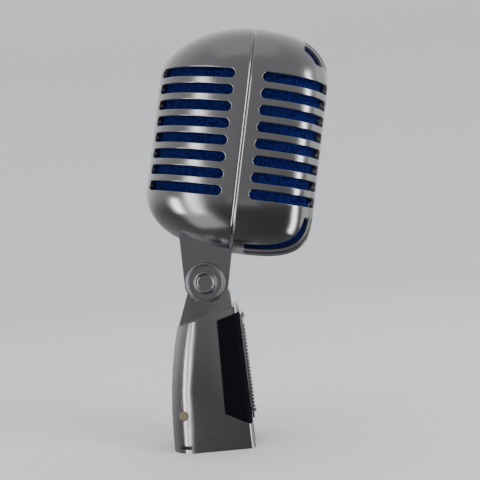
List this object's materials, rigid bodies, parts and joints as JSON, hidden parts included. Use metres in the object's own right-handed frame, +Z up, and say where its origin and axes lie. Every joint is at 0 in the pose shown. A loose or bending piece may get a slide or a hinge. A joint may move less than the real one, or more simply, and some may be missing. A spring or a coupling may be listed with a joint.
{
  "type": "ribbon microphone",
  "caption": "Vocal ribbon microphone: slotted die-cast head with foam behind the slots, on a swivel base with stand thread and cable socket.",
  "frame": {"origin": "centre of the seat at the blind end of the stand thread, on the thread's axis", "axes": "+Z up out of the base towards the head, the front of the head faces -Y, X from side to side"},
  "size_m": [0.056, 0.0899, 0.1932],
  "materials": {
    "satin_shell": "brushed satin metal",
    "satin_swivel": "satin metal",
    "satin_base": "brushed satin metal",
    "satin_plate": "polished ridges",
    "blue_foam": "open-cell foam",
    "black_cover": "fine ridged black",
    "steel_parts": "plain steel",
    "magnet": "ground",
    "ribbon": "corrugated foil",
    "brass_parts": "plain brass",
    "copper_coil": "varnished wire",
    "rubber_parts": "matt rubber",
    "dark_plastic": "moulded"
  },
  "bodies": {
    "base": {"base_housing": "satin_base", "base_front_cover": "black_cover", "ridged_front_plate": "satin_plate", "plate_screw_bottom": "satin_plate", "plate_screw_top": "satin_plate", "thread_bush": "steel_parts", "socket_insert": "dark_plastic", "socket_pin_1": "brass_parts", "socket_pin_2": "brass_parts", "socket_pin_3": "brass_parts", "socket_set_screw": "brass_parts", "base_lead": "rubber_parts"},
    "head": {"front_grille_shell": "satin_shell", "rear_grille_shell": "satin_shell", "front_foam_liner": "blue_foam", "rear_foam_liner": "blue_foam", "shell_screw_upper": "steel_parts", "shell_screw_lower": "steel_parts", "chassis_post_front": "steel_parts", "chassis_post_rear": "steel_parts", "chassis_plate": "steel_parts", "shock_mount_front_left": "rubber_parts", "shock_mount_rear_left": "rubber_parts", "shock_mount_front_right": "rubber_parts", "shock_mount_rear_right": "rubber_parts", "motor_shelf": "steel_parts", "pole_frame": "steel_parts", "magnet_left": "magnet", "magnet_right": "magnet", "ribbon_foil": "ribbon", "ribbon_clamp_block_bottom": "dark_plastic", "ribbon_clamp_block_top": "dark_plastic", "ribbon_clamp_bar_bottom": "brass_parts", "ribbon_clamp_bar_top": "brass_parts", "ribbon_clamp_screw_bottom_left": "brass_parts", "ribbon_clamp_screw_bottom_right": "brass_parts", "ribbon_clamp_screw_top_left": "brass_parts", "ribbon_clamp_screw_top_right": "brass_parts", "transformer_core": "magnet", "transformer_coil": "copper_coil", "head_lead": "rubber_parts", "swivel_yoke": "satin_swivel", "yoke_screw_front": "steel_parts", "yoke_screw_rear": "steel_parts", "pivot_cap_left": "satin_swivel", "pivot_cap_right": "satin_swivel", "friction_washer_left": "dark_plastic", "friction_washer_right": "dark_plastic", "pivot_bolt": "steel_parts"}
  },
  "joints": [
    {"name": "head_tilt", "type": "hinge", "parent": "base", "child": "head", "pos_m": [0, 0.0061, 0.0666], "axis": [1, 0, 0], "range_deg": [-92, 32]}
  ]
}
